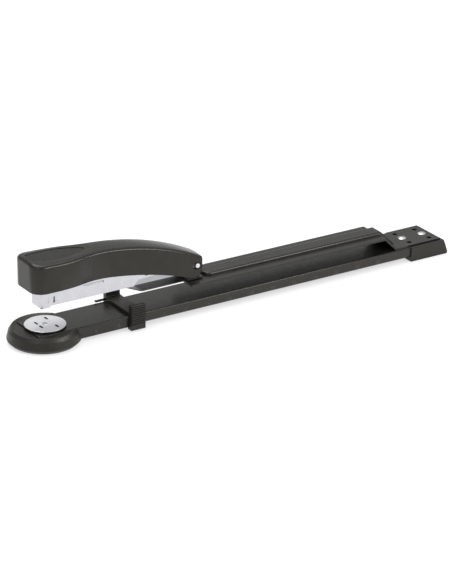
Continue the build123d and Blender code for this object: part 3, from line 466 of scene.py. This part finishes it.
# Scale on the rail's near flange, in faint ink: a mark each half centimetre, a number each second one.
rail_low, rail_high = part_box("base_rail")
staple_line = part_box("staple_strip")[0].x
marks = bmesh.new()
ink_y = rail_low.y
mark_top = rail_high.z - MARK_DROP
for half in range(SCALE_FIRST_HALF, SCALE_LAST_HALF + 1):
    x = staple_line + half * 5 * MM
    height = MARK_WHOLE if half % 2 == 0 else MARK_HALF
    add_box(
        marks,
        (x - MARK_HALF_WIDTH, ink_y - SCALE_RELIEF, mark_top - height),
        (x + MARK_HALF_WIDTH, ink_y + SCALE_RELIEF, mark_top),
    )
scale_marks = piece("scale_marks", marks, SCALE_INK)
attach(scale_marks, "base")

digits = bmesh.new()
for centimetre in range(SCALE_FIRST_HALF // 2, SCALE_LAST_HALF // 2 + 1, 2):
    curve = bpy.data.curves.new(f"digit_{centimetre}", "FONT")
    curve.body = str(centimetre)
    curve.size = DIGIT_HEIGHT * FONT_SIZE_PER_HEIGHT
    curve.align_x = "RIGHT"
    curve.extrude = SCALE_RELIEF
    holder = bpy.data.objects.new(curve.name, curve)
    number = bpy.data.meshes.new_from_object(holder)
    x = staple_line + (centimetre * 10 - DIGIT_SHIFT_IN_MM) * MM
    facing = Matrix(((1, 0, 0, x), (0, 0, -1, ink_y), (0, 1, 0, DIGIT_BASE_Z), (0, 0, 0, 1)))
    number.transform(facing)
    digits.from_mesh(number)
    bpy.data.objects.remove(holder)
scale_digits = piece("scale_digits", digits, SCALE_INK)
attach(scale_digits, "base")


# ---------------------------------------------------------------- surroundings
floor_mesh = bpy.data.meshes.new("floor")
floor_corners = [
    (FLOOR_REACH * x, FLOOR_REACH * y, 0) for x, y in ((-1, -1), (1, -1), (1, 1), (-1, 1))
]
floor_mesh.from_pydata(floor_corners, [], [(0, 1, 2, 3)])
floor = bpy.data.objects.new("floor", floor_mesh)
bpy.context.scene.collection.objects.link(floor)
floor_material = material("pale_floor", (FLOOR_GREY,) * 3, 0.7, specular=0.1)
vary_color(floor_material, noise(floor_material, 3), (FLOOR_DARK,) * 3, (FLOOR_LIGHT,) * 3)
floor_shader = floor_material.node_tree.nodes["Principled BSDF"]
floor_shader.inputs["Emission Color"].default_value = (1, 1, 1, 1)
floor_shader.inputs["Emission Strength"].default_value = FLOOR_GLOW
floor_mesh.materials.append(floor_material)


def area_light(name, place, aim, size, watts):
    """A soft white rectangular light aimed at a point."""
    lamp = bpy.data.lights.new(name, "AREA")
    lamp.shape = "RECTANGLE"
    lamp.size, lamp.size_y = size
    lamp.energy = watts
    obj = bpy.data.objects.new(name, lamp)
    obj.location = place
    obj.rotation_euler = (Vector(aim) - Vector(place)).to_track_quat("-Z", "Y").to_euler()
    bpy.context.scene.collection.objects.link(obj)


area_light("overhead", place=(-0.2, 0.35, 1.5), aim=(0, 0, 0), size=(1.8, 1.1), watts=20)
area_light("front_left", place=(-1.3, -0.9, 0.9), aim=(-0.1, 0, 0.03), size=(0.8, 0.8), watts=3)
area_light("edge_strip", place=(0.72, -1.2, 0.8), aim=(-0.05, 0, 0.03), size=(1.2, 0.45), watts=14)

world = bpy.data.worlds.new("studio")
world.use_nodes = True
tree = world.node_tree
place = tree.nodes.new("ShaderNodeTexCoord")
split = tree.nodes.new("ShaderNodeSeparateXYZ")
ramp = tree.nodes.new("ShaderNodeValToRGB")
while len(ramp.color_ramp.elements) < len(WORLD_BANDS):
    ramp.color_ramp.elements.new(0.5)
for stop, (height, value) in zip(ramp.color_ramp.elements, WORLD_BANDS):
    stop.position = height
    stop.color = (value, value, value * WORLD_BLUE, 1)
tree.links.new(place.outputs["Generated"], split.inputs["Vector"])
tree.links.new(split.outputs["Z"], ramp.inputs["Fac"])
tree.links.new(ramp.outputs["Color"], tree.nodes["Background"].inputs["Color"])
tree.nodes["Background"].inputs["Strength"].default_value = WORLD_STRENGTH
bpy.context.scene.world = world

# The camera stands back from its target, level, then rolled a little about its line of sight.
back = Vector(
    (
        math.sin(CAMERA_AZIMUTH) * math.cos(CAMERA_ELEVATION),
        -math.cos(CAMERA_AZIMUTH) * math.cos(CAMERA_ELEVATION),
        math.sin(CAMERA_ELEVATION),
    )
)
level_right = back.cross(Vector((0, 0, -1))).normalized()
level_up = back.cross(level_right).normalized()
right = level_right * math.cos(CAMERA_ROLL) + level_up * math.sin(CAMERA_ROLL)
up = back.cross(right)
turn = Matrix((right, up, back)).transposed().to_4x4()
lens = bpy.data.cameras.new("camera")
lens.lens = CAMERA_LENS
lens.clip_end = CAMERA_CLIP_END
camera = bpy.data.objects.new("camera", lens)
camera.matrix_world = Matrix.Translation(CAMERA_TARGET + back * CAMERA_DISTANCE) @ turn
bpy.context.scene.collection.objects.link(camera)
bpy.context.scene.camera = camera

bpy.context.scene.view_settings.view_transform = "Standard"
